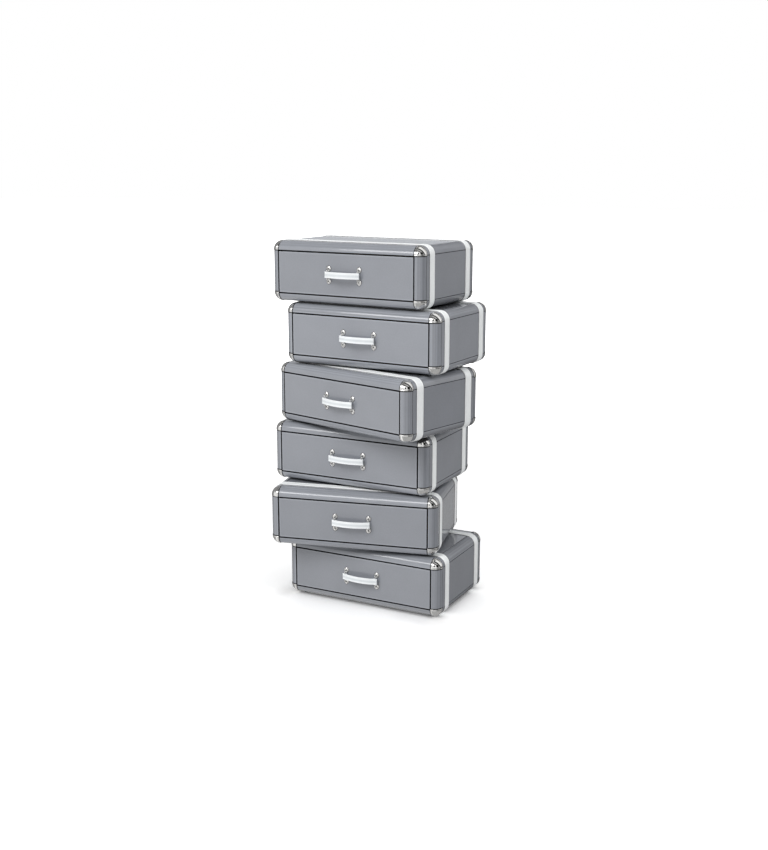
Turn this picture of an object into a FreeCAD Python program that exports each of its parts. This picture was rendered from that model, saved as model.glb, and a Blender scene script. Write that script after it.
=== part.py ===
import FreeCAD, Part
import Sketcher
import math
import os

# Chest made of six suitcase-like drawer cases, stacked askew and bolted together.
# Frame: +Z up, fronts towards -Y, origin on the floor under the middle of the stack.
# Case 1 is the top one, case 6 stands on the floor. Millimetres.

V = FreeCAD.Vector
doc = FreeCAD.newDocument("StackedCaseChest")

# ---------------------------------------------------------------- driving sizes
SIZES = [
    ("case_width", 716.0, "outer width of one case"),
    ("case_depth", 463.0, "outer depth of one case"),
    ("case_height", 247.4, "outer height of one case"),
    ("case_gap", 6.3, "clear height between two cases"),
    ("edge_radius", 36.0, "radius of the quarter-round edges"),
    ("wall", 16.0, "panel and moulding thickness"),
    ("seam", 1.1, "bevel of the seam grooves"),
    ("seam_slot", 1.8, "clear width of a seam groove"),
    ("seam_depth", 5.0, "depth of a seam groove"),
    ("rim_bevel", 1.5, "bevel round the drawer opening"),
    ("lip_top", 2.0, "top moulding's reach below the rounding"),
    ("lip_bottom", -3.0, "bottom moulding's reach above the rounding"),
    ("glue", 0.1, "glue line under straps and caps"),
    ("cap_proud", 1.6, "thickness of a corner cap"),
    ("cap_flange", 3.4, "reach of a corner cap past the rounding"),
    ("strap_width", 38.5, "width of the leather straps"),
    ("strap_thick", 3.0, "thickness of the leather straps"),
    ("strap_from_front", 58.9, "front plane to the strap's near edge"),
    ("front_width", 634.8, "drawer front width"),
    ("front_height", 169.0, "drawer front height"),
    ("front_low", 36.4, "drawer front's lower edge above the case's underside"),
    ("front_thick", 18.0, "drawer front thickness"),
    ("front_round", 2.0, "rounding of the drawer front's edges"),
    ("box_width", 626.0, "drawer box outer width"),
    ("box_low", 44.0, "underside of the drawer bottom"),
    ("box_side_height", 136.0, "height of the drawer sides"),
    ("box_length", 418.5, "length of the drawer sides"),
    ("board", 12.0, "thickness of the drawer box boards"),
    ("bottom_board", 6.0, "thickness of the drawer bottom"),
    ("runner_height", 18.0, "height of a runner"),
    ("runner_low", 109.3, "runner's underside above the case's underside"),
    ("runner_length", 387.0, "length of a runner"),
    ("runner_slack", 0.3, "play above and below a runner"),
    ("groove_depth", 8.5, "depth of the groove in a drawer side"),
    ("screw_radius", 2.0, "runner screw shank"),
    ("screw_head", 4.0, "runner screw head"),
    ("screw_grip", 10.0, "runner screw depth in the side panel"),
    ("hole_play", 0.15, "radial play of a screw or bolt in its hole"),
    ("handle_height_z", 121.0, "handle's middle above the case's underside"),
    ("handle_half", 71.8, "handle's middle to a bail"),
    ("bail_out", 14.0, "bail's upright in front of the drawer"),
    ("bail_wire", 2.2, "bail wire radius"),
    ("bail_bend", 8.0, "bail bend radius"),
    ("bail_half", 26.0, "handle's middle to a bail's leg"),
    ("rosette_radius", 9.0, "rosette's round end"),
    ("rosette_thick", 3.4, "rosette thickness"),
    ("grip_height", 25.0, "height of the leather grip"),
    ("grip_thick", 4.4, "thickness of the leather grip"),
    ("grip_bow", 12.0, "rise of the grip between its ends"),
    ("grip_end_out", 19.0, "grip's middle line in front of the drawer at the bails"),
    ("grip_half", 82.0, "handle's middle to the grip's end"),
    ("grip_loop", 6.5, "outer radius of the grip's end loops"),
    ("glide_radius", 10.0, "floor glide radius"),
    ("glide_height", 6.3, "floor glide height"),
    ("spacer_radius", 20.0, "radius of a spacer between two cases"),
    ("bolt_radius", 4.0, "stack bolt radius"),
    ("bolt_head", 7.5, "bolt head and nut corner radius"),
    ("bolt_head_height", 5.3, "bolt head height"),
    ("nut_height", 6.5, "nut height"),
    ("bolt_reach_x", 150.0, "stack bolts from the middle, across"),
    ("bolt_reach_y", 45.0, "stack bolts from the middle, in depth"),
    ("stack_x", 34.473, "shift of the whole stack"),
    ("stack_y", 68.084, "shift of the whole stack"),
]
# plan position and turn of each case against the lowest one
POSES = {
    1: (-57.3, -8.4, -3.5),
    2: (8.6, -13.8, -3.06),
    3: (-6.3, -74.0, -14.21),
    4: (-66.6, 0.5, 0.38),
    5: (-66.4, -59.1, 12.36),
    6: (-1.0, 0.0, 0.0),
}
for n, (px, py, turn) in POSES.items():
    SIZES.append(("case%s_x" % "abcdef"[n - 1], px, "plan position of case %d" % n))
    SIZES.append(("case%s_y" % "abcdef"[n - 1], py, "plan position of case %d" % n))
    SIZES.append(("case%s_turn" % "abcdef"[n - 1], turn, "turn of case %d, degrees" % n))

sheet = doc.addObject("Spreadsheet::Sheet", "Dims")
for row, (alias, value, words) in enumerate(SIZES, start=1):
    sheet.set("A%d" % row, words)
    sheet.set("B%d" % row, str(value))
    sheet.setAlias("B%d" % row, alias)
doc.recompute()


class Q:
    """A size: its value and the expression that ties it to the sheet."""

    def __init__(self, value, words):
        self.v = float(value)
        self.e = words

    def __add__(self, o):
        o = as_q(o)
        return Q(self.v + o.v, "(%s + %s)" % (self.e, o.e))

    __radd__ = __add__

    def __sub__(self, o):
        o = as_q(o)
        return Q(self.v - o.v, "(%s - %s)" % (self.e, o.e))

    def __rsub__(self, o):
        return as_q(o) - self

    def __mul__(self, o):
        o = as_q(o)
        return Q(self.v * o.v, "(%s * %s)" % (self.e, o.e))

    __rmul__ = __mul__

    def __truediv__(self, o):
        o = as_q(o)
        return Q(self.v / o.v, "(%s / %s)" % (self.e, o.e))

    def __neg__(self):
        return Q(-self.v, "(0 - %s)" % self.e)


def as_q(x):
    return x if isinstance(x, Q) else Q(x, "(%r)" % float(x))


def root(a):
    return Q(math.sqrt(a.v), "sqrt(%s)" % a.e)


def dim(alias):
    return Q(float(sheet.get(alias)), "Dims." + alias)


def bind(obj, prop, size):
    size = as_q(size)
    obj.setExpression(prop, size.e)


def place(obj, x, y, z, rotation=None):
    x, y, z = as_q(x), as_q(y), as_q(z)
    obj.Placement = FreeCAD.Placement(V(x.v, y.v, z.v), rotation or FreeCAD.Rotation())
    for axis, size in (("x", x), ("y", y), ("z", z)):
        obj.setExpression("Placement.Base." + axis, size.e)


def axes(u, v):
    """Rotation that lays a body's X along u and its Y along v."""
    u, v = V(*u), V(*v)
    w = u.cross(v)
    m = FreeCAD.Matrix(u.x, v.x, w.x, 0, u.y, v.y, w.y, 0, u.z, v.z, w.z, 0, 0, 0, 0, 1)
    return FreeCAD.Placement(m).Rotation


W, D, H = dim("case_width"), dim("case_depth"), dim("case_height")
R, T = dim("edge_radius"), dim("wall")
W2, D2 = W / 2, D / 2
GLUE = dim("glue")


# ---------------------------------------------------------------- small builders
def body(name):
    return doc.addObject("PartDesign::Body", name)


def plane(b, role):
    return [f for f in b.Origin.OriginFeatures if f.Role == role][0]


def new_sketch(b, name, offset=None):
    sk = b.newObject("Sketcher::SketchObject", name)
    sk.AttachmentSupport = [(plane(b, "XY_Plane"), "")]
    sk.MapMode = "FlatFace"
    if offset is not None:
        sk.AttachmentOffset = FreeCAD.Placement(V(0, 0, offset.v), FreeCAD.Rotation())
        sk.setExpression("AttachmentOffset.Base.z", offset.e)
    return sk


def outline(sk, verts, arcs=None):
    """Closed outline through verts; arcs gives {index: (centre x, centre y, radius)}
    for the stretch that leaves that vertex, turning anticlockwise."""
    arcs = arcs or {}
    verts = [(as_q(a), as_q(b)) for a, b in verts]
    count = len(verts)
    ids = []
    for i in range(count):
        a, b = verts[i], verts[(i + 1) % count]
        pa, pb = V(a[0].v, a[1].v, 0), V(b[0].v, b[1].v, 0)
        if i in arcs:
            cx, cy, rad = [as_q(k) for k in arcs[i]]
            a1 = math.atan2(pa.y - cy.v, pa.x - cx.v)
            a2 = math.atan2(pb.y - cy.v, pb.x - cx.v)
            if a2 <= a1:
                a2 += 2 * math.pi
            circle = Part.Circle(V(cx.v, cy.v, 0), V(0, 0, 1), rad.v)
            ids.append(sk.addGeometry(Part.ArcOfCircle(circle, a1, a2), False))
        else:
            ids.append(sk.addGeometry(Part.LineSegment(pa, pb), False))
    for i in range(count):
        sk.addConstraint(Sketcher.Constraint("Coincident", ids[i], 2, ids[(i + 1) % count], 1))
    for i in range(count):
        for k, kind, axis in ((0, "DistanceX", -2), (1, "DistanceY", -1)):
            size = verts[i][k]
            if abs(size.v) < 1e-9:
                sk.addConstraint(Sketcher.Constraint("PointOnObject", ids[i], 1, axis))
            else:
                c = sk.addConstraint(Sketcher.Constraint(kind, -1, 1, ids[i], 1, size.v))
                sk.setExpression("Constraints[%d]" % c, size.e)
    for i, (cx, cy, rad) in arcs.items():
        rad = as_q(rad)
        c = sk.addConstraint(Sketcher.Constraint("Radius", ids[i], rad.v))
        sk.setExpression("Constraints[%d]" % c, rad.e)
    return sk


def rectangle(sk, x0, y0, x1, y1):
    return outline(sk, [(x0, y0), (x1, y0), (x1, y1), (x0, y1)])


def pad(b, sk, length, symmetric=False):
    p = b.newObject("PartDesign::Pad", b.Name + "_pad")
    p.Profile = sk
    p.Length = as_q(length).v
    bind(p, "Length", length)
    if symmetric:
        p.SideType = "Symmetric"
    sk.Visibility = False
    doc.recompute()
    return p


def rounded(b, base, edges, radius):
    f = b.newObject("PartDesign::Fillet", b.Name + "_fillet")
    f.Base = (base, ["Edge%d" % i for i in edges])
    f.Radius = as_q(radius).v
    bind(f, "Radius", radius)
    doc.recompute()
    return f


def pick(shape, test):
    """Numbers of the edges whose end points and middle all pass the test."""
    out = []
    for i, e in enumerate(shape.Edges, start=1):
        pts = [vx.Point for vx in e.Vertexes]
        pts.append(e.valueAt((e.FirstParameter + e.LastParameter) / 2))
        if all(test(p) for p in pts):
            out.append(i)
    return out


def box(name, x, y, z, lx, ly, lz):
    o = doc.addObject("Part::Box", name)
    for prop, size in (("Length", lx), ("Width", ly), ("Height", lz)):
        setattr(o, prop, as_q(size).v)
        bind(o, prop, size)
    place(o, x, y, z)
    return o


def cylinder(name, radius, height, x=0, y=0, z=0, rotation=None, angle=None):
    o = doc.addObject("Part::Cylinder", name)
    bind(o, "Radius", radius)
    bind(o, "Height", height)
    if angle:
        o.Angle = angle
    place(o, x, y, z, rotation)
    return o


def cut(name, base, tool):
    o = doc.addObject("Part::Cut", name)
    o.Base, o.Tool = base, tool
    return o


def fuse(name, shapes):
    o = doc.addObject("Part::MultiFuse", name)
    o.Shapes = shapes
    return o


def group(name, links):
    o = doc.addObject("Part::Compound", name)
    o.Links = links
    return o


def mirror(name, source, normal, base=(0, 0, 0)):
    o = doc.addObject("Part::Mirroring", name)
    o.Source = source
    o.Normal = V(*normal)
    o.Base = V(*base)
    return o


def copy_at(name, source, x, y, z, rotation=None):
    o = doc.addObject("App::Link", name)
    o.LinkedObject = source
    o.Placement = FreeCAD.Placement(V(x, y, z), rotation or FreeCAD.Rotation())
    return o


def bevelled(name, base, edges, size):
    o = doc.addObject("Part::Chamfer", name)
    o.Base = base
    o.Edges = [(i, size, size) for i in edges]
    return o


# ---------------------------------------------------------------- one case, in its own frame
# Case frame: origin under the middle of the case's underside, front at y = -depth / 2.

# five panels, bevelled along their outer edges so that a fine groove shows at each seam
seam = dim("seam").v
flat_w, flat_d, flat_h = W - 2 * R, D - 2 * R, H - 2 * R


def panel(name, x, y, z, lx, ly, lz, axis, outer):
    blank = box(name + "_blank", x, y, z, lx, ly, lz)
    doc.recompute()
    edges = pick(blank.Shape, lambda p: abs(getattr(p, axis) - outer.v) < 1e-6)
    return bevelled(name, blank, edges, seam)


top_panel = panel("top_panel", -flat_w / 2, -flat_d / 2, H - T, flat_w, flat_d, T, "z", H)
bottom_panel = panel("bottom_panel", -flat_w / 2, -flat_d / 2, 0, flat_w, flat_d, T, "z", as_q(0))
right_blank = panel("right_panel_blank", W2 - T, -flat_d / 2, R, T, flat_d, flat_h, "x", W2)
left_blank = panel("left_panel_blank", -W2, -flat_d / 2, R, T, flat_d, flat_h, "x", -W2)
back_panel = panel("back_panel", -flat_w / 2, D2 - T, R, flat_w, T, flat_h, "y", D2)


# twelve quarter-round mouldings: a quarter circle outside, an L inside, and a narrow slot
# where they meet a panel; lip is the front leg's reach, for the four round the opening
def moulding(name, length, at, u, v, bevel=None, lip=None):
    b = body(name)
    sk = new_sketch(b, name + "_section")
    g = dim("seam")
    s, deep = dim("seam_slot"), dim("seam_depth")
    near = R - root(R * R - (s + g) * (s + g))
    first = [(R - s - g, near), (R - s, g), (R - s, deep), (R, deep), (R, T), (T, T)]
    if lip is None:
        verts = first + [(T, R), (deep, R), (deep, R - s), (g, R - s), (near, R - s - g)]
    elif lip.v > 0:
        leg = R + lip
        verts = first + [(T, leg), (bevel, leg), (0, leg - bevel), (0, R)]
    else:
        leg = R + lip
        foot = R - root(R * R - lip * lip)
        reach = bevel - lip
        verts = first + [(T, leg), (foot + bevel, leg), (R - root(R * R - reach * reach), leg - bevel)]
    outline(sk, verts, {len(verts) - 1: (R, R, R)})
    pad(b, sk, length, symmetric=True)
    place(b, at[0], at[1], at[2], axes(u, v))
    return b


X, Y, Z = (1, 0, 0), (0, 1, 0), (0, 0, 1)
nX, nY, nZ = (-1, 0, 0), (0, -1, 0), (0, 0, -1)
rb, no_lip = dim("rim_bevel"), as_q(0)
mouldings = [
    moulding("front_top_moulding", flat_w, (0, -D2, H), Y, nZ, rb, dim("lip_top")),
    moulding("front_bottom_moulding", flat_w, (0, -D2, 0), Y, Z, rb, dim("lip_bottom")),
    moulding("front_left_moulding", flat_h, (-W2, -D2, H / 2), Y, X, rb, no_lip),
    moulding("front_right_moulding", flat_h, (W2, -D2, H / 2), Y, nX, rb, no_lip),
    moulding("back_top_moulding", flat_w, (0, D2, H), nY, nZ),
    moulding("back_bottom_moulding", flat_w, (0, D2, 0), nY, Z),
    moulding("back_left_moulding", flat_h, (-W2, D2, H / 2), nY, X),
    moulding("back_right_moulding", flat_h, (W2, D2, H / 2), nY, nX),
    moulding("top_left_moulding", flat_d, (-W2, 0, H), X, nZ),
    moulding("top_right_moulding", flat_d, (W2, 0, H), nX, nZ),
    moulding("bottom_left_moulding", flat_d, (-W2, 0, 0), X, Z),
    moulding("bottom_right_moulding", flat_d, (W2, 0, 0), nX, Z),
]


# the case's rounded outline, grown by a given amount
def envelope(name, grow):
    b = body(name)
    sk = rectangle(new_sketch(b, name + "_plan"), 0, 0, W + 2 * grow, D + 2 * grow)
    p = pad(b, sk, H + 2 * grow)
    rounded(b, p, range(1, 13), R + grow)
    place(b, -W2 - grow, -D2 - grow, -grow)
    return b


def corners(name, size, grow):
    """Eight cubes over the case's corners."""
    out = []
    full = size + grow
    for k, (sx, sy, sz) in enumerate([(a, b, c) for a in (0, 1) for b in (0, 1) for c in (0, 1)]):
        x = W2 - size if sx else -W2 - grow
        y = D2 - size if sy else -D2 - grow
        z = H - size if sz else -grow
        out.append(box("%s_%d" % (name, k), x, y, z, full, full, full))
    return fuse(name, out)


def common(name, a, b):
    o = doc.addObject("Part::MultiCommon", name)
    o.Shapes = [a, b]
    return o


# corner blocks: the rounded corner less the hollow behind it
hollow = box("hollow", -W2 + T, -D2 + T, T, W - 2 * T, D - 2 * T, H - 2 * T)
solid_case = envelope("case_outline", as_q(0))
corner_blocks = common("corner_blocks", cut("case_skin", solid_case, hollow), corners("block_zone", R, as_q(1.0)))

# corner caps: a thin shell over each rounded corner, with a flange along the edges
cap_in, cap_out = envelope("cap_inside", GLUE), envelope("cap_outside", GLUE + dim("cap_proud"))
corner_caps = common("corner_caps", cut("cap_shell", cap_out, cap_in),
                     corners("cap_zone", R + dim("cap_flange"), as_q(4.0)))


# two straps in closed loops round the case
def strap(name, middle_y):
    b = body(name)
    thick = dim("strap_thick")
    grow = GLUE + thick
    sk = new_sketch(b, name + "_loop")
    rectangle(sk, 0, 0, W + 2 * grow, H + 2 * grow)
    rectangle(sk, thick, thick, W + 2 * grow - thick, H + 2 * grow - thick)
    p = pad(b, sk, dim("strap_width"), symmetric=True)
    wide, tall = (W + 2 * grow).v, (H + 2 * grow).v
    lo = pick(p.Shape, lambda q: min(abs(q.x), abs(q.x - wide)) < 1e-6 and min(abs(q.y), abs(q.y - tall)) < 1e-6)
    f = rounded(b, p, lo, R + grow)
    s = thick.v
    li = pick(f.Shape, lambda q: min(abs(q.x - s), abs(q.x - wide + s)) < 1e-6
              and min(abs(q.y - s), abs(q.y - tall + s)) < 1e-6)
    rounded(b, f, li, R + GLUE)
    place(b, -W2 - grow, middle_y, -grow, axes(X, Z))
    return b


strap_mid = D2 - dim("strap_from_front") - dim("strap_width") / 2
straps = [strap("front_strap", -strap_mid), strap("rear_strap", strap_mid)]

# ---------------------------------------------------------------- runners and their screws
box_half = dim("box_width") / 2
groove = dim("groove_depth")
runner_x = box_half - groove + 0.5
runner_front = -D2 + dim("front_thick") + 21.5
runner_blank = box("runner_blank", runner_x, runner_front, dim("runner_low"),
                   W2 - T - runner_x, dim("runner_length"), dim("runner_height"))
ROT_X = FreeCAD.Rotation(V(0, 1, 0), 90)


def screw(name, play):
    """Countersunk screw along +X, head flush at x = 0."""
    head = doc.addObject("Part::Cone", name + "_head")
    bind(head, "Radius1", dim("screw_head") + play)
    bind(head, "Radius2", dim("screw_radius") + play)
    bind(head, "Height", dim("screw_head") - dim("screw_radius") + 1.0)
    head.Placement = FreeCAD.Placement(V(0, 0, 0), ROT_X)
    shank = cylinder(name + "_shank", dim("screw_radius") + play,
                     W2 - T - runner_x + dim("screw_grip") + play * 2, 0, 0, 0, ROT_X)
    return fuse(name, [head, shank])


screw_one = screw("screw_one", as_q(0))
screw_hole = screw("screw_hole", dim("hole_play"))
screw_z = (dim("runner_low") + dim("runner_height") / 2).v
mid_y = (runner_front + dim("runner_length") / 2).v
screw_ys = [mid_y - 150.0, mid_y, mid_y + 150.0]
doc.recompute()
screw_holes = group("screw_holes", [copy_at("screw_hole_%d" % k, screw_hole, runner_x.v, y, screw_z)
                                    for k, y in enumerate(screw_ys)])
screws_right = group("screws_right", [copy_at("screw_right_%d" % k, screw_one, runner_x.v, y, screw_z)
                                      for k, y in enumerate(screw_ys)])
right_runner = cut("right_runner", runner_blank, screw_holes)
right_panel = cut("right_panel", right_blank, screw_holes)
left_runner = mirror("left_runner", right_runner, X)
screws_left = mirror("screws_left", screws_right, X)
left_panel = cut("left_panel", left_blank, mirror("screw_holes_left", screw_holes, X))

# ---------------------------------------------------------------- one drawer, in its case's frame
# drawer front: a board with rounded front edges, flush with the case
FW, FH, FT = dim("front_width"), dim("front_height"), dim("front_thick")
drawer_front = body("drawer_front")
p = pad(drawer_front, rectangle(new_sketch(drawer_front, "drawer_front_face"), 0, 0, FW, FH), FT)
rounded(drawer_front, p, pick(p.Shape, lambda q: abs(q.z - FT.v) < 1e-6), dim("front_round"))
place(drawer_front, -FW / 2, -D2 + FT, dim("front_low"), axes(X, Z))

# drawer box: sides with a runner groove that is open at the back, back, inner front, bottom
B, BL = dim("board"), dim("box_length")
SH = dim("box_side_height")
box_front = -D2 + FT
side_low = dim("box_low") + dim("bottom_board")
right_side = body("drawer_right_side")
p = pad(right_side, rectangle(new_sketch(right_side, "drawer_side_face"), 0, 0, BL, SH), B)
before = p.Shape.Volume
slot_front = runner_front - box_front - 0.5
slot_low = dim("runner_low") - dim("runner_slack") - side_low
slot_high = slot_low + dim("runner_height") + 2 * dim("runner_slack")
sk = rectangle(new_sketch(right_side, "drawer_side_groove", B), slot_front, slot_low, BL + 5.0, slot_high)
pocket = right_side.newObject("PartDesign::Pocket", "drawer_side_pocket")
pocket.Profile = sk
pocket.Length = groove.v
bind(pocket, "Length", groove)
sk.Visibility = False
doc.recompute()
wanted = (BL - slot_front).v * (slot_high - slot_low).v * groove.v
if abs(before - pocket.Shape.Volume - wanted) > 1.0:
    raise RuntimeError("runner groove: %r instead of %r" % (before - pocket.Shape.Volume, wanted))
place(right_side, box_half - B, box_front, side_low, axes(Y, Z))
left_side = mirror("drawer_left_side", right_side, X)
inner_w = dim("box_width") - 2 * B
inner_front = box("drawer_inner_front", -inner_w / 2, box_front, side_low, inner_w, B, SH)
drawer_back = box("drawer_back", -inner_w / 2, box_front + BL - B, side_low, inner_w, B, SH - 6.0)
drawer_bottom = box("drawer_bottom", -box_half, box_front, dim("box_low"),
                    dim("box_width"), BL, dim("bottom_board"))

# leather grip: a bowed band with a loop round each bail, near its ends
HZ, HX = dim("handle_height_z"), dim("handle_half")
GH, GT = dim("grip_height"), dim("grip_thick")
bow = dim("grip_bow")
bow_r = (HX * HX + bow * bow) / (2 * bow)
bow_y = -D2 - dim("grip_end_out") - bow + bow_r
grip_low = HZ - GH / 2
band_ring = cut("grip_ring",
                cylinder("grip_outside", bow_r + GT / 2, GH, 0, bow_y, grip_low),
                cylinder("grip_inside", bow_r - GT / 2, GH, 0, bow_y, grip_low))
band = common("grip_band", band_ring,
              box("grip_zone", -dim("grip_half"), -D2 - 60.0, grip_low, 2 * dim("grip_half"), 55.0, GH))
bail_y = -D2 - dim("bail_out")
loops = [cylinder("grip_loop_%s" % s, dim("grip_loop"), GH, k * HX, bail_y, grip_low)
         for s, k in (("left", -1), ("right", 1))]
bores = [cylinder("grip_bore_%s" % s, dim("bail_wire") + 0.3, GH + 2.0, k * HX, bail_y, grip_low - 1.0)
         for s, k in (("left", -1), ("right", 1))]
grip = cut("grip", fuse("grip_whole", [band] + loops), fuse("grip_bores", bores))


# chrome brackets: an upright wire, bent back at both ends into two pointed rosettes
def bracket(side, k):
    x = k * HX
    wire, bend, half = dim("bail_wire"), dim("bail_bend"), dim("bail_half")
    rr, rt = dim("rosette_radius"), dim("rosette_thick")
    leg = dim("bail_out") - bend
    bits = [cylinder("bail_%s_upright" % side, wire, 2 * (half - bend), x, bail_y, HZ - half + bend)]
    for s, word in ((1, "upper"), (-1, "lower")):
        elbow = doc.addObject("Part::Torus", "bail_%s_%s_elbow" % (side, word))
        bind(elbow, "Radius1", bend)
        bind(elbow, "Radius2", wire)
        elbow.Angle3 = 90.0
        place(elbow, x, bail_y + bend, HZ + s * (half - bend), axes(nY, Z) if s > 0 else axes(nY, nZ))
        bits.append(elbow)
        back = FreeCAD.Rotation(V(1, 0, 0), 90)
        bits.append(cylinder("bail_%s_%s_leg" % (side, word), wire, leg, x, -D2, HZ + s * half, back))
        disc = cylinder("rosette_%s_%s_disc" % (side, word), rr, rt, x, -D2, HZ + s * half, back)
        tip = doc.addObject("Part::Box", "rosette_%s_%s_tip" % (side, word))
        bind(tip, "Length", rr)
        bind(tip, "Height", rr)
        bind(tip, "Width", rt)
        turn = FreeCAD.Rotation(V(0, 1, 0), -45 if s > 0 else 135)
        place(tip, x, -D2 - rt, HZ + s * half, turn)
        bits += [disc, tip]
    return fuse("bracket_" + side, bits)


brackets = [bracket("left", -1), bracket("right", 1)]

# ---------------------------------------------------------------- stack: six cases
glide_h, gap = dim("glide_height"), dim("case_gap")
LETTER = {n: "abcdef"[n - 1] for n in POSES}


def seat(n):
    """Plan position, underside level and turn of case n."""
    x = dim("stack_x") + dim("case%s_x" % LETTER[n])
    y = dim("stack_y") + dim("case%s_y" % LETTER[n])
    z = glide_h + (6 - n) * (H + gap)
    return x, y, z, FreeCAD.Rotation(V(0, 0, 1), dim("case%s_turn" % LETTER[n]).v)


def in_case(name, links, n):
    o = group(name, links)
    x, y, z, rot = seat(n)
    place(o, x, y, z, rot)
    return o


# bolts between case n (above) and case n + 1 (below)
shaft_len = 2 * T + gap + dim("nut_height") + 2.0
bolt_head = doc.addObject("Part::Prism", "bolt_head")
bolt_head.Polygon = 6
bind(bolt_head, "Circumradius", dim("bolt_head"))
bind(bolt_head, "Height", dim("bolt_head_height"))
bolt_one = fuse("bolt_one", [bolt_head, cylinder("bolt_shaft", dim("bolt_radius"), shaft_len, 0, 0, -shaft_len)])
nut_blank = doc.addObject("Part::Prism", "nut_blank")
nut_blank.Polygon = 6
bind(nut_blank, "Circumradius", dim("bolt_head"))
bind(nut_blank, "Height", dim("nut_height"))
place(nut_blank, 0, 0, -dim("nut_height"))
nut_one = cut("nut_one", nut_blank,
              cylinder("nut_bore", dim("bolt_radius") + dim("hole_play"), dim("nut_height") + 2.0,
                       0, 0, -dim("nut_height") - 1.0))
bolt_bore = dim("bolt_radius") + dim("hole_play")
spacer_one = cut("spacer_one", cylinder("spacer_disc", dim("spacer_radius"), gap),
                 cylinder("spacer_bore", bolt_bore, gap + 2.0, 0, 0, -1.0))
bolt_hole = cylinder("bolt_hole", bolt_bore, 2 * T + gap + 20.0)
doc.recompute()

bolts, nuts, spacers, holes = [], [], [], {n: [] for n in POSES}
for n in range(1, 6):
    xa, ya, za, ra = seat(n)
    xb, yb, zb, rb_ = seat(n + 1)
    turn = (dim("case%s_turn" % LETTER[n]).v + dim("case%s_turn" % LETTER[n + 1]).v) / 2
    rot = FreeCAD.Rotation(V(0, 0, 1), turn)
    mid = V((xa.v + xb.v) / 2, (ya.v + yb.v) / 2, 0)
    for k, (sx, sy) in enumerate(((-1, -1), (1, -1), (1, 1), (-1, 1))):
        at = mid + rot.multVec(V(sx * dim("bolt_reach_x").v, sy * dim("bolt_reach_y").v, 0))
        low = zb.v + H.v
        bolts.append(copy_at("bolt_%d_%d" % (n, k), bolt_one, at.x, at.y, za.v + T.v, rot))
        nuts.append(copy_at("nut_%d_%d" % (n, k), nut_one, at.x, at.y, low - T.v, rot))
        spacers.append(copy_at("spacer_%d_%d" % (n, k), spacer_one, at.x, at.y, low, rot))
        hole = copy_at("bolt_hole_%d_%d" % (n, k), bolt_hole, at.x, at.y, low - T.v - 10.0, rot)
        holes[n].append(hole)
        holes[n + 1].append(hole)

nodes = []
runner_sets, screw_sets = [], []
for n in sorted(POSES):
    raw = in_case("case_%d_panel_set" % n, [top_panel, bottom_panel, left_panel, right_panel, back_panel], n)
    nodes.append(cut("case_%d_panels" % n, raw, group("case_%d_bolt_holes" % n, holes[n])))
    nodes.append(in_case("case_%d_edge_mouldings" % n, mouldings + [corner_blocks], n))
    nodes.append(in_case("case_%d_corner_caps" % n, [corner_caps], n))
    nodes.append(in_case("case_%d_straps" % n, straps, n))
    nodes.append(in_case("drawer_%d_front" % n, [drawer_front], n))
    nodes.append(in_case("drawer_%d_box" % n, [left_side, right_side, inner_front, drawer_back], n))
    nodes.append(in_case("drawer_%d_bottom" % n, [drawer_bottom], n))
    nodes.append(in_case("drawer_%d_handle_grip" % n, [grip], n))
    nodes.append(in_case("drawer_%d_handle_brackets" % n, brackets, n))
    runner_sets.append(in_case("case_%d_runners" % n, [left_runner, right_runner], n))
    screw_sets.append(in_case("case_%d_runner_screws" % n, [screws_left, screws_right], n))

nodes.append(group("drawer_runners", runner_sets))
nodes.append(group("runner_screws", screw_sets))
nodes.append(group("stack_spacers", spacers))
nodes.append(group("stack_bolts", bolts))
nodes.append(group("stack_nuts", nuts))

# floor glides between the straps and the rounded edges of the lowest case
gx, gy, gz, grot = seat(6)
glide_set = []
for k, (sx, sy) in enumerate(((-1, -1), (1, -1), (1, 1), (-1, 1))):
    glide_set.append(cylinder("glide_%d" % k, dim("glide_radius"), glide_h,
                              gx + sx * (flat_w / 2 - 24.0),
                              gy + sy * (D2 - dim("strap_from_front") / 2 - R / 2 + 1.0), 0))
nodes.append(group("floor_glides", glide_set))

for o in nodes:
    o.Label = o.Name
doc.recompute()

# ---------------------------------------------------------------- test and write
bad = [o.Name for o in doc.Objects if "Invalid" in o.State or "Error" in o.State]
if bad:
    raise RuntimeError("failed objects: " + ", ".join(bad))
for o in nodes:
    if o.Shape.isNull() or not o.Shape.isValid() or not o.Shape.Solids:
        raise RuntimeError("bad shape: " + o.Label)

os.makedirs("parts", exist_ok=True)
lo, hi = V(1e9, 1e9, 1e9), V(-1e9, -1e9, -1e9)
for o in nodes:
    solids = o.Shape.Solids
    shape = solids[0] if len(solids) == 1 else Part.makeCompound(solids)
    shape.exportStep("parts/%s.step" % o.Label)
    bb = shape.BoundBox
    lo = V(min(lo.x, bb.XMin), min(lo.y, bb.YMin), min(lo.z, bb.ZMin))
    hi = V(max(hi.x, bb.XMax), max(hi.y, bb.YMax), max(hi.z, bb.ZMax))
    print("%-28s solids %3d  volume %10.1f mm3" % (o.Label, len(solids), sum(s.Volume for s in solids)))
print("nodes", len(nodes))
print("box low %.3f %.3f %.3f high %.3f %.3f %.3f" % (lo.x, lo.y, lo.z, hi.x, hi.y, hi.z))
print("middle %.3f %.3f" % ((lo.x + hi.x) / 2, (lo.y + hi.y) / 2))
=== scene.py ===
import math
import random

import bpy
import bmesh
from mathutils import Matrix, Vector


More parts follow.
